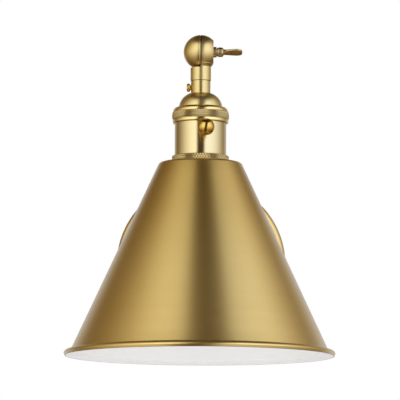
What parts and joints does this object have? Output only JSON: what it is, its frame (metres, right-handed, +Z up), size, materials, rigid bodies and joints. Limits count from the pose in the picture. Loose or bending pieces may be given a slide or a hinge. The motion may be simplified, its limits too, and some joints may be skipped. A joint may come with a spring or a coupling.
{
  "type": "wall sconce",
  "caption": "Brass wall sconce: round wall plate, bent tube arm, ball swivel with thumb screw, turn-key socket and cone shade, white inside.",
  "frame": {"origin": "centre of the wall plate's back, in the plane of the wall", "axes": "+Y into the wall along the plate's axis, so the light stands out along -Y; +Z up; +X to the right seen from the room"},
  "size_m": [0.204, 0.247, 0.2444],
  "materials": {
    "satin_brass": "brushed satin brass, fine turned lines; the shade is white enamel inside",
    "polished_brass": "polished darker brass",
    "zinc_steel": "zinc-plated steel",
    "earth_green": "green anodised",
    "fibre_paper": "vulcanised fibre",
    "moulded_black": "moulded phenolic",
    "contact_metal": "nickel-washed brass, drawn"
  },
  "bodies": {
    "wall_arm": {"wall_plate": "satin_brass", "mounting_strap": "zinc_steel", "arm_nipple": "zinc_steel", "strap_nut": "zinc_steel", "plate_nut": "zinc_steel", "plate_studs": "zinc_steel", "plate_cap_nuts": "polished_brass", "earth_screw": "earth_green", "arm_collar": "satin_brass", "arm_tube": "satin_brass", "swivel_arm_half": "satin_brass"},
    "swivel_screw": {"thumb_screw": "polished_brass", "thumb_washer": "polished_brass"},
    "lamp_head": {"swivel_head_half": "satin_brass", "neck_nipple": "zinc_steel", "neck_nut": "zinc_steel", "socket_cap": "satin_brass", "set_screw": "polished_brass", "cap_ring": "satin_brass", "socket_shell": "satin_brass", "insulating_sleeve": "fibre_paper", "switch_housing": "moulded_black", "terminal_screws": "zinc_steel", "screw_shell": "contact_metal", "centre_contact": "contact_metal", "mouth_ring": "moulded_black", "key_bushing": "polished_brass", "clamp_ring": "satin_brass", "lock_ring": "satin_brass", "shade": "satin_brass"},
    "switch_key": {"key_stem": "polished_brass", "key_knob": "polished_brass"}
  },
  "joints": [
    {"name": "head_tilt", "type": "hinge", "parent": "wall_arm", "child": "lamp_head", "pos_m": [0, -0.145, 0.14885], "axis": [-1, 0, 0], "range_deg": [-5, 90]},
    {"name": "thumb_turn", "type": "hinge", "parent": "wall_arm", "child": "swivel_screw", "pos_m": [0, -0.145, 0.14885], "axis": [1, 0, 0], "range_deg": [0, 360]},
    {"name": "key_turn", "type": "hinge", "parent": "lamp_head", "child": "switch_key", "pos_m": [0, -0.145, 0.0872], "axis": [0.1392, -0.9903, 0], "continuous": true}
  ]
}
